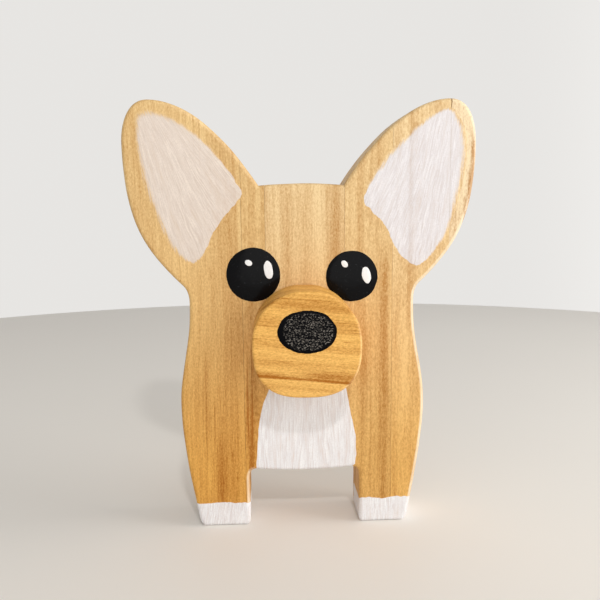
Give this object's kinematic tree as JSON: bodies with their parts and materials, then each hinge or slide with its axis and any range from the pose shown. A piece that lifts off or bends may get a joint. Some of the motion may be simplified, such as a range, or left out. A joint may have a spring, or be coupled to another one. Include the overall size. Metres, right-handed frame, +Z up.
{
  "type": "eyeglasses display stand",
  "caption": "Wooden stand in the outline of a sitting dog that carries eyeglasses on its projecting snout block, with the lenses against its face.",
  "frame": {"origin": "on the ground under the middle of the stand", "axes": "+Z up, the face and snout look to -Y, +X to the viewer's right"},
  "size_m": [0.1174, 0.038, 0.1463],
  "materials": {
    "pine": "honey pine under a thin satin lacquer",
    "snout_wood": "darker streaked pine under a thin satin lacquer",
    "white_paint": "thin brushed-on white paint",
    "black_paint": "thick gloss black enamel",
    "zinc_steel": "yellow zinc-plated steel"
  },
  "bodies": {
    "root": {"stave_left_ear": "pine", "stave_left_narrow": "pine", "stave_centre": "pine", "stave_right_leg": "pine", "stave_right_ear": "pine", "stave_right_tip": "pine", "snout_block": "snout_wood", "snout_screw_upper": "zinc_steel", "snout_screw_lower": "zinc_steel"}
  },
  "joints": []
}
